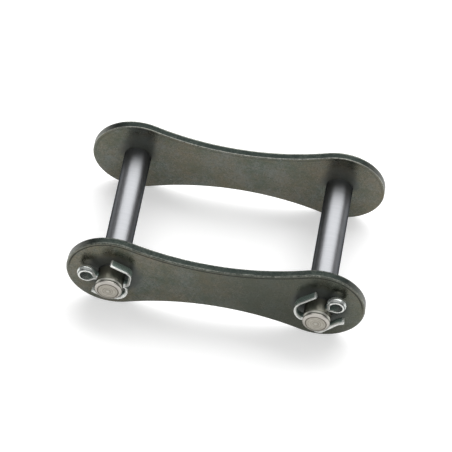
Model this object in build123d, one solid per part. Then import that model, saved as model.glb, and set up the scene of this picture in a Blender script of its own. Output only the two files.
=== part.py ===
from build123d import *
from math import acos, degrees
import os

# Connecting link of a roller chain, in millimetres
# X runs along the pitch, Y along the pins from the cotter side to the riveted side, Z is up
# The link stands on the round ends of both plates, and the origin is the centre of its footprint

# Side plates
pitch = 41.4
inner_width = 28.9
lobe_radius = 9.2
waist_height = 11.1
plate_thickness = 1.6
plate_edge_bevel = 0.2

# Bearing pins
pin_diameter = 5.5
end_margin = 3.0
end_bevel_width = 0.6
end_bevel_depth = 0.25
end_land = 0.3
end_groove_width = 0.3
end_groove_depth = 0.35
end_shoulder_length = 0.45
rivet_head_diameter = 6.9
rivet_head_rim = 0.45
rivet_head_height = 1.25
rivet_shoulder_diameter = 5.3
rivet_shoulder_drop = 0.25
rivet_dimple_diameter = 2.4
rivet_dimple_depth = 0.3

# Split cotters, folded from half-round wire
wire_width = 1.8
wire_gap = 0.1
eye_radius = 1.2
neck_radius = 1.0

# Room between the pieces, on the radius for what is round
pressed_clearance = 0.02
slip_clearance = 0.1
cotter_clearance = 0.1
cotter_play = 0.7
bend_room = 0.05

# The cotters are bent by hand, so each leans its own way in its hole and has legs of its own
# A leg is a run of straight lengths and of bends as (radius, degrees), from the pin outwards
left_lean = -12.5
left_legs = [
    [(1.05, 96), 1.6, (1.8, 71), 3.5],
    [(1.1, -73), 0.5, (2.6, -88), (7.0, -35), 0.9],
]
right_lean = 223
right_legs = [
    [(1.05, 92), 2.25, (1.5, 93), 3.4, (3.0, -26), 0.4],
    [0.15, (1.1, -85), (3.2, -96), 3.5],
]

pin_radius = pin_diameter / 2
cotter_hole_radius = wire_width / 2 + cotter_clearance
cotter_y = -plate_thickness - cotter_play - wire_width / 2
pin_front = cotter_y - end_margin
rear_face = inner_width + plate_thickness
pin_back = rear_face + rivet_head_height
to_origin = Pos(0, -(pin_front + pin_back) / 2, lobe_radius)


def plate_outline():
    # Hollow arcs along the waist run into the round ends without a corner
    half_pitch = pitch / 2
    half_waist = waist_height / 2
    span = half_pitch**2 + half_waist**2 - lobe_radius**2
    waist_radius = span / (2 * (lobe_radius - half_waist))
    share = lobe_radius / (lobe_radius + waist_radius)
    touch_x = half_pitch * (1 - share)
    touch_z = (half_waist + waist_radius) * share
    with BuildLine() as outline:
        ThreePointArc((-touch_x, touch_z), (0, half_waist), (touch_x, touch_z))
        ThreePointArc((touch_x, touch_z), (half_pitch + lobe_radius, 0), (touch_x, -touch_z))
        ThreePointArc((touch_x, -touch_z), (0, -half_waist), (-touch_x, -touch_z))
        ThreePointArc((-touch_x, -touch_z), (-half_pitch - lobe_radius, 0), (-touch_x, touch_z))
    return outline.wire()


def side_plate(back_face, hole_clearance):
    # Blanked plate with its sharp edges broken and a hole for each pin
    with BuildPart() as plate:
        with BuildSketch(Plane.XZ.offset(-back_face)):
            make_face(plate_outline())
            with Locations((-pitch / 2, 0), (pitch / 2, 0)):
                Circle(pin_radius + hole_clearance, mode=Mode.SUBTRACT)
        extrude(amount=plate_thickness)
        rims = plate.faces().filter_by(Axis.Y).edges()
        holes = rims.filter_by(GeomType.CIRCLE).filter_by(lambda rim: rim.is_closed)
        chamfer([rim for rim in rims if rim not in holes], plate_edge_bevel)
    return plate.part


def bearing_pin(side, lean):
    # Turned pin, riveted over behind the rear plate and cross-drilled beyond the front plate
    land_start = pin_front + end_bevel_depth
    groove_start = land_start + end_land
    groove_end = groove_start + end_groove_width
    groove_radius = pin_radius - end_groove_depth
    head_radius = rivet_head_diameter / 2
    dimple_radius = rivet_dimple_diameter / 2
    shoulder_radius = rivet_shoulder_diameter / 2
    with BuildPart() as turned:
        with BuildSketch():
            with BuildLine():
                Polyline(
                    (0, pin_back - rivet_dimple_depth),
                    (0, pin_front),
                    (pin_radius - end_bevel_width, pin_front),
                    (pin_radius, land_start),
                    (pin_radius, groove_start),
                    (groove_radius, groove_start),
                    (groove_radius, groove_end),
                    (pin_radius, groove_end + end_shoulder_length),
                    (pin_radius, rear_face),
                    (head_radius, rear_face),
                    (head_radius, rear_face + rivet_head_rim),
                    (shoulder_radius, pin_back - rivet_shoulder_drop),
                    (dimple_radius, pin_back),
                    close=True,
                )
            make_face()
        revolve(axis=Axis.Y)
        with Locations(Pos(0, cotter_y, 0) * Rot(0, -lean, 0) * Rot(0, 90, 0)):
            Cylinder(cotter_hole_radius, 2 * pin_diameter, mode=Mode.SUBTRACT)
    return Pos(side * pitch / 2, 0, 0) * turned.part


def bent_route(start, direction, moves):
    # Straight lengths and tangent bends, one after another
    with BuildLine() as route:
        for move in moves:
            if isinstance(move, tuple):
                radius, turn = move
                step = JernArc(start, direction, radius, turn)
            else:
                step = PolarLine(start, move, direction=direction)
            start = step @ 1
            direction = step % 1
    return route.wire()


def split_cotter(side, lean, legs):
    # One length of half-round wire, flat face inwards, doubled back on itself at the eye
    # It is drawn with the shank along X and the bends in XY, and is swept both ways from the pin
    upper_leg, lower_leg = legs
    half_gap = wire_gap / 2
    way_out = pin_radius + bend_room
    splay = degrees(acos((half_gap + neck_radius) / (neck_radius + eye_radius)))
    neck = (neck_radius, -splay)
    eye = (eye_radius, 180 + 2 * splay)
    first = bent_route((0, half_gap), (1, 0), [way_out, *upper_leg])
    second = bent_route((0, half_gap), (-1, 0), [way_out, neck, eye, neck, 2 * way_out, *lower_leg])
    with BuildSketch(Plane.YZ) as half_round:
        Circle(wire_width / 2)
        with Locations((half_gap, 0)):
            Rectangle(wire_width, wire_width, align=(Align.MIN, Align.CENTER), mode=Mode.INTERSECT)
    wire = sweep(half_round.sketch, path=first) + sweep(half_round.sketch, path=second)
    placed = Pos(side * pitch / 2, cotter_y, 0) * Rot(0, -lean, 0) * Rot(90, 0, 0)
    return placed * wire


os.makedirs("parts", exist_ok=True)
pieces = {
    "rear_plate": side_plate(rear_face, pressed_clearance),
    "front_plate": side_plate(0, slip_clearance),
    "left_pin": bearing_pin(-1, left_lean),
    "right_pin": bearing_pin(1, right_lean),
    "left_cotter": split_cotter(-1, left_lean, left_legs),
    "right_cotter": split_cotter(1, right_lean, right_legs),
}
for node, piece in pieces.items():
    export_step(to_origin * piece, f"parts/{node}.step")
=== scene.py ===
import math
import bmesh
import bpy
from mathutils import Matrix, Vector


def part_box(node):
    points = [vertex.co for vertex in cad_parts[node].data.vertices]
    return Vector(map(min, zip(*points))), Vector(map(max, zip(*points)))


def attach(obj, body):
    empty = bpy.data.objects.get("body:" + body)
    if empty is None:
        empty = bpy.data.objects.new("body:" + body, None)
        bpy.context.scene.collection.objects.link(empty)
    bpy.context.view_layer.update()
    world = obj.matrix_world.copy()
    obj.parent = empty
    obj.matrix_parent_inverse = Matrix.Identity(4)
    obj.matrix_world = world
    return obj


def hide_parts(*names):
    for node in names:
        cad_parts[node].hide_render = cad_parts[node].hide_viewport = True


# Chain connecting link: two waisted side plates, two bearing pins and two bent split cotters.
# Everything is in metres, X along the pitch, Y along the pins towards the riveted side, Z up.

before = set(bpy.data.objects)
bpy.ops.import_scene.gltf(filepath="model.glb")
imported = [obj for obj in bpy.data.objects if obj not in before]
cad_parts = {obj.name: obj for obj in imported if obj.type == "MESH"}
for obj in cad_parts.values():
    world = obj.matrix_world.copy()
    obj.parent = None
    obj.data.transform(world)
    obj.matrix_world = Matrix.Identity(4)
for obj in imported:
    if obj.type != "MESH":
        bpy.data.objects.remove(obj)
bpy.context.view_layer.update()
print("frame loaded:", ", ".join(sorted(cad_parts)))

mm = 0.001
tiny = 0.001 * mm  # points closer together than this are one
frontLow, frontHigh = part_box("front_plate")
rearLow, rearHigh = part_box("rear_plate")
leftPinLow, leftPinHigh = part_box("left_pin")
rightPinLow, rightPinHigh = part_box("right_pin")
cotterLow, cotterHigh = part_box("left_cotter")

link = {
    "pitch": (rightPinLow[0] + rightPinHigh[0] - leftPinLow[0] - leftPinHigh[0]) / 2,
    "axisHeight": (leftPinLow[2] + leftPinHigh[2]) / 2,
    "frontOuterY": frontLow[1],
    "frontInnerY": frontHigh[1],
    "rearInnerY": rearLow[1],
    "rearOuterY": rearHigh[1],
    "pinFrontY": leftPinLow[1],
    "pinRearY": leftPinHigh[1],
    "cotterY": (cotterLow[1] + cotterHigh[1]) / 2,  # the same for both cotters
    "thickness": frontHigh[1] - frontLow[1],
    "lobeRadius": (frontHigh[2] - frontLow[2]) / 2,
    "pinRadius": 2.75 * mm,
    "headRadius": (leftPinHigh[0] - leftPinLow[0]) / 2,
}


def newObject(name, data):
    thing = bpy.data.objects.new(name, data)
    bpy.context.collection.objects.link(thing)
    return thing


# Camera, as the photograph sees the link

photo = {
    "sizePixels": 452,
    "azimuth": 4.872,  # in degrees, as are the next two
    "elevation": 51.165,
    "roll": 5.05,
    "distance": 706.7 * mm,
    "focalPixels": 3532.5,
    "aimX": 227.61,  # where the middle of the link lies, in pixels from the left and the top
    "aimY": 227.13,
    "sensor": 36.0,
    "clipStart": 0.01,
    "clipEnd": 50.0,
}


def makeCamera():
    azimuth = math.radians(photo["azimuth"])
    elevation = math.radians(photo["elevation"])
    roll = math.radians(photo["roll"])
    level = math.cos(elevation)
    back = Vector((math.sin(azimuth) * level, -math.cos(azimuth) * level, math.sin(elevation)))
    sideways = (-back).cross(Vector((0, 0, 1))).normalized()
    upright = sideways.cross(-back)
    right = math.cos(roll) * sideways + math.sin(roll) * upright
    up = math.cos(roll) * upright - math.sin(roll) * sideways
    middle = Vector((0, (link["frontInnerY"] + link["rearInnerY"]) / 2, link["axisHeight"]))
    perPixel = photo["distance"] / photo["focalPixels"]
    centre = photo["sizePixels"] / 2
    place = middle + photo["distance"] * back
    place -= right * (photo["aimX"] - centre) * perPixel
    place += up * (photo["aimY"] - centre) * perPixel
    data = bpy.data.cameras.new("photoCamera")
    data.sensor_width = photo["sensor"]
    data.lens = photo["focalPixels"] / photo["sizePixels"] * photo["sensor"]
    data.clip_start = photo["clipStart"]
    data.clip_end = photo["clipEnd"]
    camera = newObject("photoCamera", data)
    camera.matrix_world = Matrix.Translation(place) @ Matrix((right, up, back)).transposed().to_4x4()
    bpy.context.scene.camera = camera


makeCamera()
print("camera placed")


# Small helpers for node trees of both kinds. They all add to the tree that was opened last

work = {"tree": None}


def openGroup(name, kind):
    work["tree"] = bpy.data.node_groups.new(name, kind)
    return work["tree"]


def openTree(owner):
    owner.use_nodes = True
    work["tree"] = owner.node_tree
    work["tree"].nodes.clear()


def setInputs(node, values):
    for key, value in values.items():
        if isinstance(value, bpy.types.NodeSocket):
            node.id_data.links.new(value, node.inputs[key])
        else:
            node.inputs[key].default_value = value


def add(kind, values=None, **settings):
    node = work["tree"].nodes.new(kind)
    for name, value in settings.items():
        setattr(node, name, value)
    setInputs(node, values or {})
    return node


def made(kind, values=None, **settings):
    return add(kind, values, **settings).outputs[0]


def calc(operation, first, second=None, third=None, clamp=False):
    node = add("ShaderNodeMath", operation=operation, use_clamp=clamp)
    for index, value in enumerate((first, second, third)):
        if value is not None:
            setInputs(node, {index: value})
    return node.outputs[0]


def times(product, *factors):
    for factor in factors:
        product = calc("MULTIPLY", product, factor)
    return product


def plus(first, second, clamp=False):
    return calc("ADD", first, second, clamp=clamp)


def minus(first, second):
    return calc("SUBTRACT", first, second)


def linear(value, slope, start, clamp=False):
    return calc("MULTIPLY_ADD", value, slope, start, clamp)


def same(first, second):
    # 1 where two whole or half numbers are equal
    return calc("COMPARE", first, second, 0.1)


def vector(parts):
    return made("ShaderNodeCombineXYZ", parts)


def xyz(spot):
    return add("ShaderNodeSeparateXYZ", {0: spot}).outputs


def vectorMath(operation, values):
    return made("ShaderNodeVectorMath", values, operation=operation)


def sockets(kind, *names, output=False, value=None):
    for name in names:
        side = "OUTPUT" if output else "INPUT"
        item = work["tree"].interface.new_socket(name, in_out=side, socket_type="NodeSocket" + kind)
        if value is not None:
            item.default_value = value


def passOn(given, *names):
    return {name: given[name] for name in names}


# Helpers for geometry trees

def arc(points, radius, start, sweep):
    values = {"Resolution": points, "Radius": radius, "Start Angle": start, "Sweep Angle": sweep}
    return add("GeometryNodeCurveArc", values, mode="RADIUS").outputs["Curve"]


def fillet(curve, count, radius):
    values = {"Curve": curve, "Count": count, "Radius": radius}
    return made("GeometryNodeFilletCurve", values, mode="POLY")


def placed(geometry, change):
    return made("GeometryNodeTransform", {"Geometry": geometry, **change})


def store(geometry, name, value):
    values = {"Geometry": geometry, "Name": name, "Value": value}
    return made("GeometryNodeStoreNamedAttribute", values, data_type="FLOAT", domain="POINT")


def weld(geometry, distance):
    return made("GeometryNodeMergeByDistance", {"Geometry": geometry, "Distance": distance})


def join(geometries):
    node = add("GeometryNodeJoinGeometry")
    for geometry in geometries:
        setInputs(node, {0: geometry})
    return node.outputs[0]


def giveOut(geometry, given):
    # The end of every piece's tree: shaded smooth, made real and given its material
    smooth = made("GeometryNodeSetShadeSmooth", {"Geometry": geometry, "Shade Smooth": True})
    real = made("GeometryNodeRealizeInstances", {"Geometry": smooth})
    dressed = made("GeometryNodeSetMaterial", {"Geometry": real, "Material": given["Material"]})
    add("NodeGroupOutput", {"Geometry": dressed})


def evaluated(thing):
    return bpy.data.meshes.new_from_object(thing.evaluated_get(bpy.context.evaluated_depsgraph_get()))


def bakeTree(name, tree, values, place, source=None):
    # Runs a node tree once and keeps its result as a plain mesh, put in place in its own vertices
    holder = source or newObject(name + "Holder", bpy.data.meshes.new(name + "Seed"))
    modifier = holder.modifiers.new("build", "NODES")
    modifier.node_group = tree
    for item in tree.interface.items_tree:
        if item.in_out == "INPUT" and item.name in values:
            modifier[item.identifier] = values[item.name]
    mesh = evaluated(holder)
    holder.modifiers.remove(modifier)
    bpy.data.objects.remove(holder)
    mesh.transform(place)
    shell = bmesh.new()
    shell.from_mesh(mesh)
    bmesh.ops.remove_doubles(shell, verts=shell.verts, dist=tiny)
    bmesh.ops.recalc_face_normals(shell, faces=shell.faces)
    shell.to_mesh(mesh)
    shell.free()
    mesh.name = name
    return newObject(name, mesh)


def sharpenBy(piece, degrees):
    # Smooth over the roundings, with true corners kept sharp
    for polygon in piece.data.polygons:
        polygon.use_smooth = True
    piece.data.set_sharp_from_angle(angle=math.radians(degrees))


# Side plates: waisted outline by rule, with a rolled front edge and a sheared back edge

# What is named as an input of the plate's tree goes straight into it, and so do each plate's own values
plate = {
    "Pitch": link["pitch"],
    "Lobe Radius": link["lobeRadius"],
    "Waist Height": 11.1 * mm,
    "Thickness": link["thickness"],
    "Hole Corner": 0.12 * mm,
    "Border": 1.1 * mm,  # flat, next to the corner, where handling wear fades out
    "Ledge Start": 0.6 * mm,  # where the sheared wall breaks away, from the outer face
    "Lobe Points": 72,
    "Waist Points": 56,
    "Hole Points": 72,
    "Corner Points": 5,
    "holeBorder": 0.5,  # as a share of the other border
    "sectionCuts": 2,  # between two points of the wall's section
    "sharpFrom": 35,
}
sidePlates = {
    "coverPlate": {
        "node": "front_plate", "faceY": link["frontOuterY"], "Hole Radius": link["pinRadius"] + 0.1 * mm,
        "Front Corner": 0.3 * mm,  # soft, as the blanking punch leaves it on the outer face
        "Back Corner": 0.15 * mm, "Ledge Depth": 0.05 * mm,
    },
    "rivetedPlate": {
        "node": "rear_plate", "faceY": link["rearInnerY"], "Hole Radius": link["pinRadius"] + 0.02 * mm,
        "Front Corner": 0.15 * mm, "Back Corner": 0.2 * mm, "Ledge Depth": 0.0,
    },
}


def arcLoopGroup():
    # A closed loop of four arcs that run into each other: a round end, a hollow waist, and so on
    tree = openGroup("waistedLoop", "GeometryNodeTree")
    sockets("Float", "Pitch", "Lobe Radius", "Waist Height")
    sockets("Int", "Lobe Points", "Waist Points")
    sockets("Geometry", "Loop", output=True)
    given = add("NodeGroupInput").outputs
    lobeRadius = given["Lobe Radius"]
    halfPitch = times(given["Pitch"], 0.5)
    halfWaist = times(given["Waist Height"], 0.5)
    squares = [calc("POWER", length, 2.0) for length in (halfPitch, halfWaist, lobeRadius)]
    span = minus(plus(squares[0], squares[1]), squares[2])
    drop = times(minus(lobeRadius, halfWaist), 2.0)
    waistRadius = calc("DIVIDE", span, drop)
    waistCentre = plus(halfWaist, waistRadius)
    lean = calc("ARCTAN2", halfPitch, waistCentre)  # half the angle that a waist arc spans
    waistSweep = times(lean, 2.0)
    waistStart = minus(1.5 * math.pi, lean)
    lobeSweep = plus(waistSweep, math.pi)
    lobeStart = minus(minus(lean, 0.5 * math.pi), waistSweep)
    arcs = []
    for turn in (0.0, math.pi):
        lobe = arc(given["Lobe Points"], lobeRadius, lobeStart, lobeSweep)
        waist = arc(given["Waist Points"], waistRadius, waistStart, waistSweep)
        for curve, centre in ((lobe, {"X": halfPitch}), (waist, {"Y": waistCentre})):
            curve = placed(curve, {"Translation": vector(centre)})
            arcs.append(placed(curve, {"Rotation": (0, 0, turn)}))
    wire = made("GeometryNodeCurveToMesh", {"Curve": join(arcs)})
    loop = made("GeometryNodeMeshToCurve", {"Mesh": weld(wire, tiny)})
    add("NodeGroupOutput", {"Loop": loop})
    return tree


def rimGroup():
    # A wall that stands on a loop, with a rounded corner and a flat border at each face.
    # "Inward" is 1 where the border lies inside the loop and -1 where it lies outside, as at a hole.
    tree = openGroup("plateRim", "GeometryNodeTree")
    sockets("Geometry", "Loop")
    sockets("Float", "Thickness", "Front Corner", "Back Corner", "Border", "Inward")
    sockets("Float", "Ledge Start", "Ledge Depth")
    sockets("Int", "Loop Points", "Corner Points")
    sockets("Geometry", "Rim", output=True)
    given = add("NodeGroupInput").outputs
    # The wall's section has four corners: both ends of the borders, and two on the wall between them
    line = made("GeometryNodeMeshLine", {"Count": 4})
    index = made("GeometryNodeInputIndex")
    outer = same(calc("ABSOLUTE", minus(index, 1.5)), 0.5)
    inset = times(minus(1.0, outer), given["Border"])
    backHalf = calc("GREATER_THAN", index, 1.5)
    corners = vector({"X": inset, "Y": times(backHalf, given["Thickness"])})
    square = made("GeometryNodeSetPosition", {"Geometry": line, "Position": corners})
    section = made("GeometryNodeMeshToCurve", {"Mesh": square})
    corner = linear(minus(given["Back Corner"], given["Front Corner"]), backHalf, given["Front Corner"])
    section = fillet(section, given["Corner Points"], corner)
    cuts = plate["sectionCuts"]
    section = made("GeometryNodeSubdivideCurve", {"Curve": section, "Cuts": cuts})
    segments = linear(given["Corner Points"], 2.0, 3.0)
    sectionPoints = linear(segments, cuts + 1.0, 1.0)
    columns = plus(given["Loop Points"], 1.0)
    values = {"Size X": 1.0, "Size Y": 1.0, "Vertices X": columns, "Vertices Y": sectionPoints}
    marked = made("GeometryNodeMeshGrid", values)
    position = made("GeometryNodeInputPosition")
    place = xyz(position)
    along = plus(place["X"], 0.5, clamp=True)
    # The section's own corner points are met one by one, so that each rounding keeps its shape
    row = times(plus(place["Y"], 0.5), minus(sectionPoints, 1.0))
    values = {"Geometry": section, "Index": calc("ROUND", row), "Value": position}
    sectionAt = xyz(made(
        "GeometryNodeSampleIndex", values, data_type="FLOAT_VECTOR", domain="POINT", clamp=True))
    values = {"Curves": given["Loop"], "Factor": along}
    sample = add("GeometryNodeSampleCurve", values, mode="FACTOR", use_all_curves=True)
    away = vectorMath("CROSS_PRODUCT", {0: sample.outputs["Tangent"], 1: (0, 0, 1)})
    away = vectorMath("NORMALIZE", {0: away})
    # The punch burnishes the first part of the wall, and the rest breaks away a little further in
    onWall = calc("LESS_THAN", sectionAt["X"], given["Ledge Depth"])
    pastStart = calc("GREATER_THAN", sectionAt["Y"], given["Ledge Start"])
    ledge = times(onWall, pastStart, given["Ledge Depth"])
    reach = times(plus(sectionAt["X"], ledge), given["Inward"])
    step = vectorMath("SCALE", {0: away, "Scale": reach})
    across = vectorMath("ADD", {0: sample.outputs["Position"], 1: step})
    final = vectorMath("ADD", {0: across, 1: vector({"Z": sectionAt["Y"]})})
    # "edge" is 1 at the corner and fades to 0 at the end of the flat border;
    # "wall" is 1 on the wall and fades to 0 over the rounding. Both are stored while the grid is still flat
    for name, fade in (("edge", "Border"), ("wall", "Front Corner")):
        inFrom = calc("DIVIDE", sectionAt["X"], given[fade], clamp=True)
        marked = store(marked, name, minus(1.0, inFrom))
    bent = made("GeometryNodeSetPosition", {"Geometry": marked, "Position": final})
    add("NodeGroupOutput", {"Rim": weld(bent, 2 * tiny)})
    return tree


def plateTree(loopGroup, wallGroup):
    tree = openGroup("sidePlate", "GeometryNodeTree")
    sockets("Geometry", "Geometry")
    sockets("Float", "Pitch", "Lobe Radius", "Waist Height", "Thickness", "Hole Radius", "Border")
    sockets("Float", "Front Corner", "Back Corner", "Hole Corner", "Ledge Start", "Ledge Depth")
    sockets("Int", "Lobe Points", "Waist Points", "Hole Points", "Corner Points")
    sockets("Material", "Material")
    sockets("Geometry", "Geometry", output=True)
    given = add("NodeGroupInput").outputs
    thickness = given["Thickness"]
    asked = passOn(given, "Pitch", "Lobe Radius", "Waist Height", "Lobe Points", "Waist Points")
    loop = made("GeometryNodeGroup", asked, node_tree=loopGroup)
    loopPoints = times(plus(given["Lobe Points"], given["Waist Points"]), 2.0)
    outer = made("GeometryNodeGroup", {
        **passOn(given, "Thickness", "Front Corner", "Back Corner", "Border"),
        **passOn(given, "Ledge Start", "Ledge Depth", "Corner Points"),
        "Loop": loop, "Loop Points": loopPoints, "Inward": 1.0}, node_tree=wallGroup)
    walls = [outer]
    for side in (-0.5, 0.5):
        values = {"Resolution": given["Hole Points"], "Radius": given["Hole Radius"]}
        ring = made("GeometryNodeCurvePrimitiveCircle", values, mode="RADIUS")
        spot = vector({"X": times(given["Pitch"], side)})
        wall = made("GeometryNodeGroup", {
            **passOn(given, "Thickness", "Corner Points"), "Loop Points": given["Hole Points"],
            "Loop": placed(ring, {"Translation": spot}), "Inward": -1.0,
            "Front Corner": given["Hole Corner"], "Back Corner": given["Hole Corner"],
            "Border": times(given["Border"], plate["holeBorder"])}, node_tree=wallGroup)
        walls.append(wall)
    walls = join(walls)
    # The open rims of the walls are filled, once at the front and once at the back
    openRim = same(made("GeometryNodeInputMeshEdgeNeighbors"), 1.0)
    height = xyz(made("GeometryNodeInputPosition"))["Z"]
    middle = times(thickness, 0.5)
    parts = [walls]
    for compare, level in (("LESS_THAN", 0.0), ("GREATER_THAN", thickness)):
        chosen = times(openRim, calc(compare, height, middle))
        rims = made("GeometryNodeMeshToCurve", {"Mesh": walls, "Selection": chosen})
        face = made("GeometryNodeFillCurve", {"Curve": rims})
        parts.append(placed(face, {"Translation": vector({"Z": level})}))
    giveOut(weld(join(parts), 2 * tiny), given)
    return tree


def makePlates(material):
    tree = plateTree(arcLoopGroup(), rimGroup())
    for name, own in sidePlates.items():
        node = own["node"]
        # The drawing plane stands up into XZ, and the thickness grows along Y
        upright = Matrix.Rotation(-math.pi / 2, 4, "X")
        place = Matrix.Translation((0, own["faceY"], link["axisHeight"])) @ upright
        piece = bakeTree(name, tree, {**plate, **own, "Material": material}, place)
        sharpenBy(piece, plate["sharpFrom"])
        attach(piece, "root")
        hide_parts(node)


# Bearing pins: turned profile, spun round the axis, with the cross hole for the cotter

pin = {
    "endBevelWidth": 0.6 * mm,
    "endBevelDepth": 0.25 * mm,
    "endLand": 0.3 * mm,
    "grooveWidth": 0.3 * mm,
    "grooveDepth": 0.35 * mm,
    "shoulderLength": 0.38 * mm,
    "scribeWidth": 0.16 * mm,
    "scribeDepth": 0.07 * mm,
    "centreMarkRadius": 0.32 * mm,
    "centreMarkDepth": 0.16 * mm,
    "headRim": 0.45 * mm,
    "shoulderRadius": 2.65 * mm,
    "shoulderDrop": 0.25 * mm,
    "dimpleRadius": 1.2 * mm,
    "dimpleDepth": 0.3 * mm,
    "softCorner": 0.07 * mm,
    "softCrown": 0.5 * mm,
    "cornerShare": 0.45,  # of the shorter leg next to a corner, which a rounding takes at the most
    "cornerSteps": 5,
    "segments": 128,
    "crossHoleRadius": 1.0 * mm,
    "drillLength": 5 * link["pinRadius"],
    "drillSegments": 64,
    "sharpFrom": 40,
}
bearingPins = {
    "leftBearingPin": {"node": "left_pin", "cotter": "leftSplitCotter"},
    "rightBearingPin": {"node": "right_pin", "cotter": "rightSplitCotter"},
}


def roundedProfile(corners):
    # Each corner is (radius, y, rounding); a rounding is drawn as a short curve between the two legs
    points = []
    for index, (radius, y, rounding) in enumerate(corners):
        here = Vector((radius, y))
        if rounding == 0 or index in (0, len(corners) - 1):
            points.append(here)
            continue
        before = Vector(corners[index - 1][:2]) - here
        after = Vector(corners[index + 1][:2]) - here
        reach = min(rounding, before.length * pin["cornerShare"], after.length * pin["cornerShare"])
        start = here + before.normalized() * reach
        end = here + after.normalized() * reach
        for step in range(pin["cornerSteps"] + 1):
            share = step / pin["cornerSteps"]
            points.append(start * (1 - share) ** 2 + here * 2 * share * (1 - share) + end * share ** 2)
    return points


def turnedPin(name):
    # A pin about the Y axis, from its centre mark at the front to the dimple in its riveted head
    radius = link["pinRadius"]
    front = link["pinFrontY"]
    land = front + pin["endBevelDepth"]
    groove = land + pin["endLand"]
    shoulder = groove + pin["grooveWidth"]
    face = link["rearOuterY"]
    soft = pin["softCorner"]
    bevel = radius - pin["endBevelWidth"]
    corners = [
        (0, front + pin["centreMarkDepth"], 0),
        (pin["centreMarkRadius"], front, soft),
        (bevel - pin["scribeWidth"], front, soft / 2),
        (bevel - pin["scribeWidth"] / 2, front + pin["scribeDepth"], soft / 3),
        (bevel, front + pin["scribeDepth"] / 4, soft / 2),
        (radius, land, 2 * soft),
        (radius, groove, soft),
        (radius - pin["grooveDepth"], groove, soft / 2),
        (radius - pin["grooveDepth"], shoulder, soft / 2),
        (radius, shoulder + pin["shoulderLength"], 2 * soft),
        (radius, face, soft / 2),
        (link["headRadius"], face, soft),
        (link["headRadius"], face + pin["headRim"], pin["softCrown"]),
        (pin["shoulderRadius"], link["pinRearY"] - pin["shoulderDrop"], pin["softCrown"]),
        (pin["dimpleRadius"], link["pinRearY"], pin["softCrown"] / 2),
        (0, link["pinRearY"] - pin["dimpleDepth"], 0),
    ]
    shell = bmesh.new()
    rings = []
    turns = [2 * math.pi * index / pin["segments"] for index in range(pin["segments"])]
    for spot in roundedProfile(corners):
        if spot.x < tiny:
            rings.append([shell.verts.new((0, spot.y, 0))])
            continue
        ring = [(spot.x * math.cos(turn), spot.y, spot.x * math.sin(turn)) for turn in turns]
        rings.append([shell.verts.new(point) for point in ring])
    for first, second in zip(rings, rings[1:]):
        for index in range(pin["segments"]):
            following = (index + 1) % pin["segments"]
            quad = [first[index % len(first)], first[following % len(first)]]
            quad += [second[following % len(second)], second[index % len(second)]]
            corner = list(dict.fromkeys(quad))
            if len(corner) > 2:
                shell.faces.new(corner)
    bmesh.ops.recalc_face_normals(shell, faces=shell.faces)
    mesh = bpy.data.meshes.new(name)
    shell.to_mesh(mesh)
    shell.free()
    return mesh


def crossHole(bends):
    # Where a pin is drilled, leaning as its cotter leans
    axis = (bends["side"] * link["pitch"] / 2, link["cotterY"], link["axisHeight"])
    return Matrix.Translation(axis) @ Matrix.Rotation(-math.radians(bends["lean"]), 4, "Y")


def crossDrill(bends):
    mesh = bpy.data.meshes.new("drill")
    shell = bmesh.new()
    radius = pin["crossHoleRadius"]
    bmesh.ops.create_cone(
        shell, cap_ends=True, segments=pin["drillSegments"],
        radius1=radius, radius2=radius, depth=pin["drillLength"])
    shell.to_mesh(mesh)
    shell.free()
    mesh.transform(crossHole(bends) @ Matrix.Rotation(math.pi / 2, 4, "Y"))
    return newObject("drill", mesh)


def makePin(name, node, bends, material):
    mesh = turnedPin(name)
    mesh.transform(Matrix.Translation((bends["side"] * link["pitch"] / 2, 0, link["axisHeight"])))
    piece = newObject(name, mesh)
    drill = crossDrill(bends)
    cut = piece.modifiers.new("crossHole", "BOOLEAN")
    cut.object = drill
    cut.solver = "EXACT"
    done = evaluated(piece)
    piece.modifiers.remove(cut)
    piece.data = done
    done.name = name
    bpy.data.objects.remove(drill)
    done.materials.clear()
    done.materials.append(material)
    sharpenBy(piece, pin["sharpFrom"])
    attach(piece, "root")
    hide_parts(node)


# Split cotters: one length of half-round wire, swept along the bent route by a node tree

cotter = {
    "Wire Width": 1.8 * mm,
    "Wire Thickness": 0.70 * mm,  # rolled a little flatter than a true half-round
    "Half Gap": 0.05 * mm,  # half the room between the two flat faces in the hole
    "Corner Radius": 0.13 * mm,
    "Tip Bevel": 0.1 * mm,
    "Round Points": 20,
    "cornerPoints": 3,
    "tipSize": 0.84,  # of the wire's section, at its cut ends
    "eyeRadius": 1.27 * mm,
    "bendRoom": 0.05 * mm,
    "stepDegrees": 5.0,
    "sharpFrom": 50,
}
# From the pin outwards: straight lengths, and bends as (radius, degrees), in millimetres
cotterBends = {
    "leftSplitCotter": {
        "node": "left_cotter", "side": -1, "lean": -12.5, "neckRadius": 1.08 * mm,
        "upper": [(1.05, 96), 1.6, (1.8, 71), 3.5],
        "lower": [(1.1, -73), 0.5, (2.6, -88), (7.0, -35), 0.9],
    },
    "rightSplitCotter": {
        "node": "right_cotter", "side": 1, "lean": 222, "neckRadius": 0.8 * mm,
        "upper": [(1.05, 92), 2.25, (1.5, 93), 3.4, (3.0, -26), 0.4],
        "lower": [0.15, (1.1, -85), (3.2, -95), 3.8],
    },
}


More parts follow.
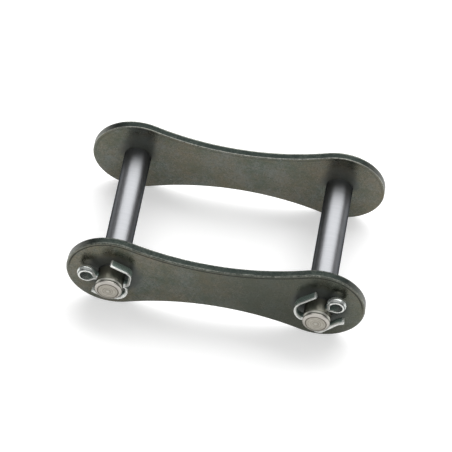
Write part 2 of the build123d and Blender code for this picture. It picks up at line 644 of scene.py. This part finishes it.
def bentRoute(start, heading, moves):
    # Points along straight lengths and tangent bends; heading and bends are in degrees
    here = Vector(start)
    points = [here.copy()]
    for move in moves:
        angle = math.radians(heading)
        if isinstance(move, tuple):
            radius, turn = move
            side = 1 if turn > 0 else -1
            centre = here + side * radius * Vector((-math.sin(angle), math.cos(angle)))
            steps = max(2, round(abs(turn) / cotter["stepDegrees"]))
            for step in range(1, steps + 1):
                angle = math.radians(heading + turn * step / steps)
                points.append(centre - side * radius * Vector((-math.sin(angle), math.cos(angle))))
            heading += turn
        else:
            stride = move * Vector((math.cos(angle), math.sin(angle)))
            steps = max(1, round(move / cotter["Wire Width"]))
            for step in range(1, steps + 1):
                points.append(here + stride * step / steps)
        here = points[-1].copy()
    return points


def withTips(points):
    # One more point close to each end, for the bevel of the cut
    bevel = cotter["Tip Bevel"]
    start = points[0] + (points[1] - points[0]).normalized() * bevel
    end = points[-1] + (points[-2] - points[-1]).normalized() * bevel
    return [points[0], start, *points[1:-1], end, points[-1]]


def scaled(moves):
    return [(move[0] * mm, move[1]) if isinstance(move, tuple) else move * mm for move in moves]


def cotterRoute(name, bends):
    # The wire's line from tip to tip, and how far along it the top of the eye lies
    gap = cotter["Half Gap"]
    wayOut = link["pinRadius"] + cotter["bendRoom"]
    neckRadius = bends["neckRadius"]
    eyeRadius = cotter["eyeRadius"]
    splay = math.degrees(math.acos((gap + neckRadius) / (neckRadius + eyeRadius)))
    neck = (neckRadius, -splay)
    eye = (eyeRadius, 180 + 2 * splay)
    first = bentRoute((0, gap), 0, [wayOut, *scaled(bends["upper"])])
    second = bentRoute((0, gap), 180, [wayOut, neck, eye, neck, 2 * wayOut, *scaled(bends["lower"])])
    toEye = bentRoute((0, gap), 180, [wayOut, neck, (eyeRadius, 90 + splay)])
    eyeMiddle = sum((b - a).length for run in (first, toEye) for a, b in zip(run, run[1:]))
    points = withTips(first[::-1] + second[1:])
    curve = bpy.data.curves.new(name + "Route", "CURVE")
    curve.dimensions = "3D"
    spline = curve.splines.new("POLY")
    spline.points.add(len(points) - 1)
    for spot, point in zip(spline.points, points):
        spot.co = (point.x, point.y, 0, 1)
    return newObject(name + "Route", curve), eyeMiddle


def wireTree():
    tree = openGroup("halfRoundWire", "GeometryNodeTree")
    sockets("Geometry", "Geometry")
    sockets("Float", "Wire Width", "Wire Thickness", "Half Gap", "Corner Radius", "Tip Bevel", "Eye Middle")
    sockets("Int", "Round Points")
    sockets("Material", "Material")
    sockets("Geometry", "Geometry", output=True)
    given = add("NodeGroupInput").outputs
    radius = times(given["Wire Width"], 0.5)
    shy = calc("ARCSINE", calc("DIVIDE", given["Half Gap"], radius))
    sweep = minus(math.pi, times(shy, 2.0))
    crown = arc(given["Round Points"], radius, shy, sweep)
    closed = made("GeometryNodeSetSplineCyclic", {"Geometry": crown, "Cyclic": True})
    # Only the two ends of the arc, where the flat face begins, are rounded off
    index = made("GeometryNodeInputIndex")
    atEnds = plus(same(index, 0.0), same(index, minus(given["Round Points"], 1.0)))
    rounding = times(atEnds, given["Corner Radius"])
    section = fillet(closed, cotter["cornerPoints"], rounding)
    # The flat is brought onto the route, with the round side to the right of it
    down = vector({"Y": times(given["Half Gap"], -1.0)})
    bulge = calc("DIVIDE", given["Wire Thickness"], minus(radius, given["Half Gap"]))
    flatter = vector({"X": 1.0, "Y": bulge, "Z": 1.0})
    section = placed(section, {"Translation": down})
    section = placed(section, {"Scale": flatter})
    section = placed(section, {"Rotation": (0, 0, -math.pi / 2)})
    parameter = add("GeometryNodeSplineParameter").outputs
    section = store(section, "around", parameter["Factor"])
    # Three lengths are kept on the wire: from its start, from the top of its eye and from the nearer tip
    along = parameter["Length"]
    toEnd = minus(add("GeometryNodeSplineLength").outputs["Length"], along)
    fromEye = calc("ABSOLUTE", minus(along, given["Eye Middle"]))
    fromTip = calc("MINIMUM", along, toEnd)
    route = made("GeometryNodeSetCurveNormal", {"Curve": given["Geometry"]}, mode="Z_UP")
    for name, length in (("along", along), ("fromEye", fromEye), ("fromTip", fromTip)):
        route = store(route, name, length)
    # The wire narrows at its very ends, where the cut has been trimmed
    grown = [calc("DIVIDE", length, given["Tip Bevel"], clamp=True) for length in (along, toEnd)]
    size = linear(times(*grown), 1 - cotter["tipSize"], cotter["tipSize"])
    swept = made("GeometryNodeCurveToMesh", {
        "Curve": route, "Profile Curve": section, "Scale": size, "Fill Caps": True})
    giveOut(swept, given)
    return tree


def makeCotters(material):
    tree = wireTree()
    for name, bends in cotterBends.items():
        route, eyeMiddle = cotterRoute(name, bends)
        values = {**cotter, "Eye Middle": eyeMiddle, "Material": material}
        place = crossHole(bends) @ Matrix.Rotation(math.pi / 2, 4, "X")
        piece = bakeTree(name, tree, values, place, source=route)
        sharpenBy(piece, cotter["sharpFrom"])
        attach(piece, "root")
        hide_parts(bends["node"])


# Helpers for shader trees

def objectSpot():
    return add("ShaderNodeTexCoord").outputs["Object"]


def noise(spot, scale, detail, roughness):
    values = {"Vector": spot, "Scale": scale, "Detail": detail, "Roughness": roughness}
    return made("ShaderNodeTexNoise", values)


def ragged(length, tone, reach, clamp=False):
    # A value that a grain makes greater here and smaller there
    return linear(minus(tone, 0.5), reach, length, clamp)


def ramp(value, limits):
    # From 0 to 1 between the first and the second limit
    values = {"Value": value, "From Min": limits[0], "From Max": limits[1]}
    return made("ShaderNodeMapRange", values, interpolation_type="SMOOTHSTEP")


def spread(start, pair, size=1.0):
    # Limits counted from "start", in the unit "size"
    return [start + share * size for share in pair]


def blend(factor, first, second):
    values = {0: factor, 6: first, 7: second}
    return add("ShaderNodeMix", values, data_type="RGBA").outputs[2]


def group(inner, values):
    return add("ShaderNodeGroup", values, node_tree=inner).outputs


def ownAttribute(name):
    return add("ShaderNodeAttribute", attribute_name=name).outputs["Fac"]


def fromAxis(place, squash=1.0):
    # Distance from the axis of the nearer pin, with heights counted less where "squash" is below 1
    sideways = minus(calc("ABSOLUTE", place["X"]), link["pitch"] / 2)
    upwards = times(minus(place["Z"], link["axisHeight"]), squash)
    squares = [calc("POWER", length, 2.0) for length in (sideways, upwards)]
    return calc("SQRT", plus(*squares))


def roughened(tone, look):
    # Roughness that follows a grain, a little to both sides of its middle
    return linear(tone, look["grainRough"], look["roughness"] - look["grainRough"] / 2)


def bumped(height, look):
    values = {"Strength": look["bumpStrength"], "Distance": look["bump"], "Height": height}
    return made("ShaderNodeBump", values)


def newMaterial(name):
    material = bpy.data.materials.new(name)
    openTree(material)
    shader = add("ShaderNodeBsdfPrincipled")
    add("ShaderNodeOutputMaterial", {0: shader.outputs[0]})
    return material, shader


# Shader groups, each used for several effects

def grainGroup():
    # Uneven tone and a fine surface, drawn out along one direction by "Stretch"
    finerBy = 6.0
    shares = (0.6, 0.4)  # of the coarse and the fine noise in the tone
    tree = openGroup("steelGrain", "ShaderNodeTree")
    sockets("Float", "Scale", "Contrast")
    sockets("Vector", "Stretch", value=(1, 1, 1))
    sockets("Float", "Tone", "Height", output=True)
    given = add("NodeGroupInput").outputs
    drawn = vectorMath("MULTIPLY", {0: objectSpot(), 1: given["Stretch"]})
    coarse = noise(drawn, given["Scale"], 5.0, 0.6)
    fine = noise(drawn, times(given["Scale"], finerBy), 3.0, 0.7)
    both = plus(times(coarse, shares[0]), times(fine, shares[1]))
    tone = ragged(0.5, both, given["Contrast"], clamp=True)
    add("NodeGroupOutput", {"Tone": tone, "Height": fine})
    return tree


def wearGroup():
    # Where corners are rubbed bright: more towards "Edge" 1, broken up by noise
    unevenness = 0.9
    fullFrom = 1.1
    tree = openGroup("cornerWear", "ShaderNodeTree")
    sockets("Float", "Edge", "Reach", "Scale")
    sockets("Float", "Mask", output=True)
    given = add("NodeGroupInput").outputs
    uneven = noise(objectSpot(), given["Scale"], 4.0, 0.65)
    broken = ragged(given["Edge"], uneven, unevenness)
    mask = ramp(broken, (minus(1.0, given["Reach"]), fullFrom))
    add("NodeGroupOutput", {"Mask": mask})
    return tree


# The three steels

plateLook = {
    "olive": (0.086, 0.104, 0.076, 1),
    "grey": (0.172, 0.184, 0.172, 1),
    "brown": (0.186, 0.150, 0.100, 1),
    "pits": (0.050, 0.058, 0.045, 1),
    "burnished": (0.072, 0.080, 0.068, 1),
    "sheared": (0.010, 0.015, 0.013, 1),
    "fleck": (0.085, 0.095, 0.082, 1),
    # painted shade: the dark line where the rolled corner meets the face
    "creaseShade": (0.018, 0.020, 0.017, 1),
    # painted shade, over the cover plate's right half and faintly everywhere
    "paintedShade": (0.055, 0.062, 0.048, 1),
    # painted shade round the pins
    "pinShade": (0.046, 0.053, 0.051, 1),
    "rubbed": (0.46, 0.46, 0.41, 1),
    "mottle": {"Scale": 190.0, "Contrast": 3.8},
    "stain": {"Scale": 115.0, "Contrast": 4.2, "Stretch": (1.0, 1.0, -1.0)},
    "speck": {"Scale": 2600.0, "Contrast": 6.0},
    "stainShare": 0.65,
    "speckShare": 0.42,
    "paintedShadeStart": (-14 * mm, 12 * mm),  # along the pitch, on the cover plate
    "paintedShadeEnd": (33 * mm, 22 * mm),
    "paintedShadeShare": 0.68,
    "paintedShadeEverywhere": 0.06,
    "pinShadeReach": (6.4 * mm, 4.6 * mm),  # from the pin's axis
    "pinShadeRagged": 0.8 * mm,
    "pinShadeShare": 0.75,
    "rearShadeReach": (4.6 * mm, 2.9 * mm),
    "rearShadeSquash": 0.6,
    "rearShadeHeights": (-1 * mm, 1 * mm),  # from the height of the pins
    "rearShadeShare": 0.6,
    "faceRoom": 0.1 * mm,  # what lies this close to a face counts as the face
    "wallRagged": 0.3 * mm,
    "burnishedDepth": 0.32 * mm,  # from the outer face of either plate
    "burnishedBlur": (-0.1 * mm, 0.1 * mm),
    "burnishedWear": (1.0, 0.5),  # shares of that depth, for the worn spots
    "burrDepth": 0.25 * mm,  # from the inner face
    "burrWear": (1.0, 0.4),
    "fleckStained": 0.30,  # share of the flecks on the wall where it is stained, and elsewhere
    "fleckClean": 0.08,
    "endsReach": (23.0 * mm, 28.5 * mm),  # from the middle, where handling has rubbed the ends
    "endsWear": {"Reach": 0.75, "Scale": 700.0},
    "endsShare": 0.2,
    "wallLimits": (0.05, 0.3),  # of the "wall" attribute
    "creaseInset": 0.56 * mm,  # from the outline, on the face
    "creaseWidth": 0.26 * mm,
    "creaseShadeHeights": (-2 * mm, 3 * mm),  # from the height of the pins
    "creaseShadeDepth": (0.8 * mm, 0.5 * mm),  # from the outer face
    "creaseShadeInner": 0.3,
    "ridgeNear": 0.75,  # below 1 breaks the worn ridge up into specks
    "ridgeFar": 0.17,  # more of it on the riveted plate
    "ridgeWear": {"Reach": 0.42, "Scale": 1800.0},
    "ridgeBright": 0.92,
    "ridgeFarBright": -0.2,
    "metallic": 0.92,
    "pinShadeMetallic": -0.6,
    "roughness": 0.27,
    "grainRough": 0.08,
    "pinShadeRough": 0.3,
    "wallRough": 0.2,
    "bumpStrength": 0.22,
    "bump": 0.010 * mm,
}


def plateSteel(grain, wear):
    look = plateLook
    material, shader = newMaterial("plateSteelPaintedShade")
    mottle = group(grain, look["mottle"])
    stain = group(grain, look["stain"])
    speck = group(grain, look["speck"])
    face = blend(mottle["Tone"], look["olive"], look["grey"])
    face = blend(times(stain["Tone"], look["stainShare"]), face, look["brown"])
    face = blend(times(speck["Tone"], look["speckShare"]), face, look["pits"])
    place = xyz(objectSpot())
    inRear = calc("GREATER_THAN", place["Y"], 0.0)
    # Painted shade: the right half of the cover plate is darker, for the floor's shadow that shows in it.
    # It fades out again at its very end, and a little of the same darkening lies over both plates
    # everywhere
    rightHalf = times(ramp(place["X"], look["paintedShadeStart"]), ramp(place["X"], look["paintedShadeEnd"]))
    coverShade = times(rightHalf, minus(1.0, inRear))
    coverShade = linear(coverShade, look["paintedShadeShare"], look["paintedShadeEverywhere"])
    face = blend(coverShade, face, look["paintedShade"])
    # Painted shade round each pin, for the dark reflections of the pins and cotters: widely behind the
    # cotters on the cover plate, and upwards on the inner face of the far plate
    pinShadeMask = ragged(fromAxis(place), stain["Tone"], look["pinShadeRagged"])
    pinShadeMask = ramp(pinShadeMask, look["pinShadeReach"])
    onFront = calc("LESS_THAN", place["Y"], link["frontOuterY"] + look["faceRoom"])
    pinShadeMask = times(pinShadeMask, onFront, look["pinShadeShare"])
    face = blend(pinShadeMask, face, look["pinShade"])
    rearShadeMask = ramp(fromAxis(place, look["rearShadeSquash"]), look["rearShadeReach"])
    fromInside = calc("ABSOLUTE", minus(place["Y"], link["rearInnerY"]))
    onInside = calc("LESS_THAN", fromInside, look["faceRoom"])
    above = ramp(place["Z"], spread(link["axisHeight"], look["rearShadeHeights"]))
    rearShadeMask = times(rearShadeMask, onInside, above, look["rearShadeShare"])
    face = blend(rearShadeMask, face, look["pinShade"])
    # How far into a plate a point on its sheared wall lies, counted from the outer face
    fromFront = minus(place["Y"], link["frontOuterY"])
    fromBack = minus(link["rearOuterY"], place["Y"])
    depth = calc("MINIMUM", fromFront, fromBack)
    broken = ragged(depth, mottle["Tone"], look["wallRagged"])
    broken = ramp(broken, spread(look["burnishedDepth"], look["burnishedBlur"]))
    band = blend(broken, look["burnished"], look["sheared"])
    patchy = linear(stain["Tone"], look["fleckStained"], look["fleckClean"])
    band = blend(times(speck["Tone"], patchy), band, look["fleck"])
    atEnds = ramp(calc("ABSOLUTE", place["X"]), look["endsReach"])
    rubbedEnds = group(wear, {"Edge": atEnds, **look["endsWear"]})["Mask"]
    band = blend(times(rubbedEnds, look["endsShare"]), band, look["rubbed"])
    onWall = ramp(ownAttribute("wall"), look["wallLimits"])
    tone = blend(onWall, face, band)
    # Painted shade: a dark line where the rolled corner runs into the face. It is strongest along the top,
    # where the light comes from behind it, and only faint on the inner faces
    edge = ownAttribute("edge")
    creaseAt = 1 - look["creaseInset"] / plate["Border"]
    fromCrease = calc("ABSOLUTE", minus(edge, creaseAt))
    creaseShade = ramp(fromCrease, (look["creaseWidth"] / plate["Border"], 0.0))
    onTop = ramp(place["Z"], spread(link["axisHeight"], look["creaseShadeHeights"]))
    onOuter = linear(ramp(depth, look["creaseShadeDepth"]), 1 - look["creaseShadeInner"], look["creaseShadeInner"])
    tone = blend(times(creaseShade, onTop, onOuter), tone, look["creaseShade"])
    # Worn bright spots along the corners
    worn = times(edge, linear(inRear, look["ridgeFar"], look["ridgeNear"]))
    rubbed = group(wear, {"Edge": worn, **look["ridgeWear"]})["Mask"]
    nearOuter = ramp(depth, spread(0.0, look["burnishedWear"], look["burnishedDepth"]))
    fromInner = minus(link["thickness"], depth)
    nearInner = ramp(fromInner, spread(0.0, look["burrWear"], look["burrDepth"]))
    rubbed = times(rubbed, calc("MAXIMUM", nearOuter, nearInner), onWall)
    bright = times(rubbed, linear(inRear, look["ridgeFarBright"], look["ridgeBright"]))
    # Where the shade round the pins is painted, the steel is also made less metallic and rougher
    shadedPatches = calc("MAXIMUM", pinShadeMask, rearShadeMask)
    matt = linear(shadedPatches, look["pinShadeRough"], roughened(mottle["Tone"], look))
    setInputs(shader, {
        "Base Color": blend(bright, tone, look["rubbed"]),
        "Metallic": linear(shadedPatches, look["pinShadeMetallic"], look["metallic"]),
        "Roughness": linear(onWall, look["wallRough"], matt),
        "Normal": bumped(speck["Height"], look)})
    return material


pinLook = {
    "ground": (0.27, 0.275, 0.285, 1),
    "groundDark": (0.225, 0.23, 0.24, 1),
    "stub": (0.34, 0.335, 0.28, 1),
    "groove": (0.06, 0.065, 0.05, 1),
    # bright tone of the shoulder band, partly a painted highlight; also used for the centre mark
    "shoulder": (0.46, 0.46, 0.41, 1),
    "scribed": (0.11, 0.10, 0.085, 1),
    "turned": (0.50, 0.475, 0.42, 1),
    "turnedDark": (0.27, 0.255, 0.22, 1),
    "bevel": (0.50, 0.48, 0.44, 1),
    # painted shade, where the barrel is seen at a low angle
    "paintedShade": (0.05, 0.055, 0.055, 1),
    "specularTint": (0.12, 0.13, 0.14, 1),
    "rounds": {"Scale": 300.0, "Stretch": (0.25, 9.0, 0.25), "Contrast": 2.6},
    "flecks": {"Scale": 1400.0, "Contrast": 2.4},
    "fleckReach": 0.7,
    "rings": 5600,  # how quickly the turning marks change, per metre of radius
    "ringLimits": (0.3, 0.7),
    "scribeLimits": (1.1, 0.3),  # of its width, from its middle
    "scribeShare": 0.8,
    "bevelLimits": (0.5, 1.0),
    "dotLimits": (1.0, 0.6),  # of the centre mark's radius
    "dotShare": 0.7,
    "frontEnd": (0.9, 0.4),  # of the bevel's depth, from the front
    "rivetEnd": (0.5, 1.0),  # of the head's rim, from the riveted plate
    "stubLimits": (0.0, -0.5 * mm),  # from the cover plate's outer face
    # Bands along the stub, from the back: colour, where they are counted from, limits and share
    "bands": (
        ("groove", "back", (0.22 * mm, 0.12 * mm), 0.7),
        ("shoulder", "back", (0.08 * mm, -0.02 * mm), 1.0),
        ("groove", "shoulder", (0.16 * mm, 0.04 * mm), 1.0),
        ("bevel", "groove", (0.02 * mm, -0.06 * mm), 1.0),
    ),
    "grazingShadeBlend": 0.5,
    "grazingShadeLimits": (0.25, 0.75),
    "grazingShadeShare": 0.5,
    "roughness": 0.40,
    "grainRough": 0.08,
    "endRough": 0.14,
    "grainHeight": 0.15,
    "bumpStrength": 0.5,
    "bump": 0.02 * mm,
}


def pinSteel(grain):
    look = pinLook
    material, shader = newMaterial("groundPinSteel")
    # Grinding marks run round the pin, so the grain is tight along Y and long around it
    rounds = group(grain, look["rounds"])
    shank = blend(rounds["Tone"], look["groundDark"], look["ground"])
    place = xyz(objectSpot())
    radius = fromAxis(place)
    # Turning marks: rings about each pin's own axis, with a dark scribed ring inside the bevel
    values = {"W": times(radius, look["rings"]), "Scale": 1.0, "Detail": 3.0}
    wobble = made("ShaderNodeTexNoise", values, noise_dimensions="1D")
    flecks = group(grain, look["flecks"])
    rings = ragged(ramp(wobble, look["ringLimits"]), flecks["Tone"], look["fleckReach"], clamp=True)
    turned = blend(rings, look["turnedDark"], look["turned"])
    scribeRadius = link["pinRadius"] - pin["endBevelWidth"] - pin["scribeWidth"] / 2
    fromScribe = calc("ABSOLUTE", minus(radius, scribeRadius))
    scribe = ramp(fromScribe, spread(0.0, look["scribeLimits"], pin["scribeWidth"]))
    turned = blend(times(scribe, look["scribeShare"]), turned, look["scribed"])
    dot = ramp(radius, spread(0.0, look["dotLimits"], pin["centreMarkRadius"]))
    turned = blend(times(dot, look["dotShare"]), turned, look["shoulder"])
    beyond = ramp(radius, spread(scribeRadius, look["bevelLimits"], pin["scribeWidth"]))
    turned = blend(beyond, turned, look["bevel"])
    # The stub in front of the cover plate is duller, with a dark groove and a bright shoulder band behind
    # it, which is partly a painted highlight for the arc that the shoulder catches
    along = place["Y"]
    onStub = ramp(along, spread(link["frontOuterY"], look["stubLimits"]))
    barrel = blend(onStub, shank, look["stub"])
    marks = {"groove": link["pinFrontY"] + pin["endBevelDepth"] + pin["endLand"]}
    marks["shoulder"] = marks["groove"] + pin["grooveWidth"]
    marks["back"] = marks["shoulder"] + pin["shoulderLength"]
    for colour, mark, limits, share in look["bands"]:
        before = times(ramp(along, spread(marks[mark], limits)), share)
        barrel = blend(before, barrel, look[colour])
    # Painted shade: the barrel is darkened where it is seen at a low angle, for the dark surroundings that
    # its sides reflect
    facing = add("ShaderNodeLayerWeight", {"Blend": look["grazingShadeBlend"]}).outputs["Facing"]
    grazingShade = times(ramp(facing, look["grazingShadeLimits"]), look["grazingShadeShare"])
    barrel = blend(grazingShade, barrel, look["paintedShade"])
    frontEnd = ramp(along, spread(link["pinFrontY"], look["frontEnd"], pin["endBevelDepth"]))
    rivetEnd = ramp(along, spread(link["rearOuterY"], look["rivetEnd"], pin["headRim"]))
    onEnd = calc("MAXIMUM", frontEnd, rivetEnd)
    height = plus(times(wobble, onEnd), times(rounds["Height"], look["grainHeight"]))
    setInputs(shader, {
        "Base Color": blend(onEnd, barrel, turned),
        "Metallic": 1.0,
        "Roughness": linear(onEnd, look["endRough"], roughened(rounds["Tone"], look)),
        "Specular Tint": look["specularTint"],
        "Normal": bumped(height, look)})
    return material


cotterLook = {
    # painted highlight along the front of the wire, and the bright tone of the cut tips
    "bright": (0.76, 0.77, 0.74, 1),
    # painted shade: the darker teal over the lit faces of the wire
    "shadedZinc": (0.24, 0.31, 0.28, 1),
    # painted highlight on the crown round the eye
    "eye": (0.62, 0.65, 0.63, 1),
    "lipShade": (0.07, 0.085, 0.08, 1),  # painted shade: a dark line behind the eye's front edge
    "linesAlong": 250.0,  # drawing lines, per metre of the wire
    "linesAround": 60.0,  # and once round it
    "patch": {"Scale": 700.0, "Contrast": 2.0},
    "eyeReach": 3.6 * mm,  # along the wire, each way from the top of the eye
    "eyeFade": (1.0, 0.7),  # shares of that reach
    "eyeRagged": 0.6 * mm,
    "crownShare": 0.56,  # of the way round the wire, the rest is its flat face
    "frontGlintReach": (0.42 * mm, 0.68 * mm),  # in front of the middle of the wire
    "frontGlintRagged": 0.2 * mm,
    "frontGlintShare": 1.1,
    "frontGlintLines": -0.3,
    "tipReach": (0.45 * mm, 0.15 * mm),  # along the wire, from its cut ends
    "tipShare": 0.8,
    "lipShadeForward": 0.68 * mm,
    "lipShadeReach": (0.15 * mm, 0.05 * mm),
    "lipShadeShare": 0.85,
    "metallic": 0.5,  # zinc that has gone chalky
    "eyeMetallic": 0.3,
    "roughness": 0.27,
    "grainRough": 0.12,
    "bumpStrength": 0.3,
    "bump": 0.012 * mm,
}


def cotterSteel(grain):
    look = cotterLook
    material, shader = newMaterial("zincCotterWire")
    # Drawing lines follow the wire, so they change quickly around it and slowly along it
    around = ownAttribute("around")
    drawn = vector({
        "X": times(ownAttribute("along"), look["linesAlong"]),
        "Y": times(around, look["linesAround"])})
    lines = noise(drawn, 1.0, 4.0, 0.5)
    patch = group(grain, look["patch"])["Tone"]
    # Painted light: the wire is a darker teal, as painted shade on its lit faces, with a painted highlight
    # on the crown round the eye and along its front; the cut tips are bright
    fromEye = linear(patch, look["eyeRagged"], ownAttribute("fromEye"))
    nearEye = ramp(fromEye, spread(0.0, look["eyeFade"], look["eyeReach"]))
    eyeHighlight = times(nearEye, calc("LESS_THAN", around, look["crownShare"]))
    litAndShadedZinc = blend(eyeHighlight, look["shadedZinc"], look["eye"])
    place = xyz(objectSpot())
    forward = ragged(minus(link["cotterY"], place["Y"]), patch, look["frontGlintRagged"])
    lined = linear(lines, look["frontGlintLines"], look["frontGlintShare"], clamp=True)
    # Painted highlight along the front of the wire
    frontGlint = times(ramp(forward, look["frontGlintReach"]), lined)
    atTip = times(ramp(ownAttribute("fromTip"), look["tipReach"]), look["tipShare"])
    colour = blend(calc("MAXIMUM", frontGlint, atTip), litAndShadedZinc, look["bright"])
    # Painted shade: a dark line behind the eye's front edge
    fromLipShade = calc("ABSOLUTE", minus(forward, look["lipShadeForward"]))
    lipShade = times(ramp(fromLipShade, look["lipShadeReach"]), eyeHighlight, look["lipShadeShare"])
    setInputs(shader, {
        "Base Color": blend(lipShade, colour, look["lipShade"]),
        "Metallic": linear(eyeHighlight, look["eyeMetallic"], look["metallic"]),
        "Roughness": roughened(lines, look),
        "Normal": bumped(lines, look)})
    return material


grain = grainGroup()
wear = wearGroup()
steels = {"plates": plateSteel(grain, wear), "pins": pinSteel(grain), "cotters": cotterSteel(grain)}
print("materials made")
makePlates(steels["plates"])
print("plates made")
for name, own in bearingPins.items():
    makePin(name, own["node"], cotterBends[own["cotter"]], steels["pins"])
print("pins made")
makeCotters(steels["cotters"])
print("cotters made")


# Floor, lamps and world

studio = {
    "floorSize": 4.0,
    "floorColour": 0.8,
    "floorLift": 0.42,
    "worldDim": 0.2,
    "worldRise": 0.25,  # how much lighter it is high up
    "worldFrom": 0.1,  # heights on the sky's unit ball
    "worldTo": 0.9,
}
lamps = {
    # "aim" is the direction from the link to the lamp
    "overheadBox": {
        "aim": (0.08, 0.625, 0.78), "distance": 0.42, "width": 0.70, "height": 0.42, "power": 2.9,
    },
    "frontBox": {
        "aim": (0.0, -0.85, 0.53), "distance": 1.2, "width": 1.6, "height": 1.2, "power": 6.0,
    },
}


def makeFloor():
    half = studio["floorSize"] / 2
    mesh = bpy.data.meshes.new("floor")
    corners = [(-half, -half, 0), (half, -half, 0), (half, half, 0), (-half, half, 0)]
    mesh.from_pydata(corners, [], [(0, 1, 2, 3)])
    floor = newObject("floor", mesh)
    material = bpy.data.materials.new("paleFloor")
    openTree(material)
    tone = studio["floorColour"]
    matt = made("ShaderNodeBsdfDiffuse", {"Color": (tone, tone, tone, 1)})
    # The lift is only seen, in the picture and in reflections, and lights nothing
    ray = add("ShaderNodeLightPath").outputs
    seen = calc("MAXIMUM", ray["Is Glossy Ray"], ray["Is Transmission Ray"])
    seen = calc("MAXIMUM", ray["Is Camera Ray"], seen)
    glow = made("ShaderNodeEmission", {"Strength": times(seen, studio["floorLift"])})
    both = made("ShaderNodeAddShader", {0: matt, 1: glow})
    add("ShaderNodeOutputMaterial", {0: both})
    mesh.materials.append(material)


def makeLamp(name, aim, distance, width, height, power):
    data = bpy.data.lights.new(name, "AREA")
    data.shape = "RECTANGLE"
    data.size = width
    data.size_y = height
    data.energy = power
    lamp = newObject(name, data)
    away = Vector(aim).normalized()
    lamp.location = away * distance + Vector((0, 0, link["axisHeight"]))
    lamp.rotation_euler = away.to_track_quat("Z", "Y").to_euler()
    lamp.visible_camera = False


def makeWorld():
    world = bpy.data.worlds.new("studioWorld")
    bpy.context.scene.world = world
    openTree(world)
    direction = xyz(add("ShaderNodeTexCoord").outputs["Generated"])
    # A little lighter high up, dim all round the horizon
    level = made("ShaderNodeMapRange", {
        "Value": direction["Z"], "From Min": studio["worldFrom"], "From Max": studio["worldTo"],
        "To Min": studio["worldDim"], "To Max": studio["worldDim"] + studio["worldRise"]})
    glow = made("ShaderNodeBackground", {"Strength": level})
    add("ShaderNodeOutputWorld", {0: glow})


makeFloor()
for name, values in lamps.items():
    makeLamp(name, **values)
makeWorld()
bpy.context.scene.view_settings.view_transform = "Standard"
print("studio set")
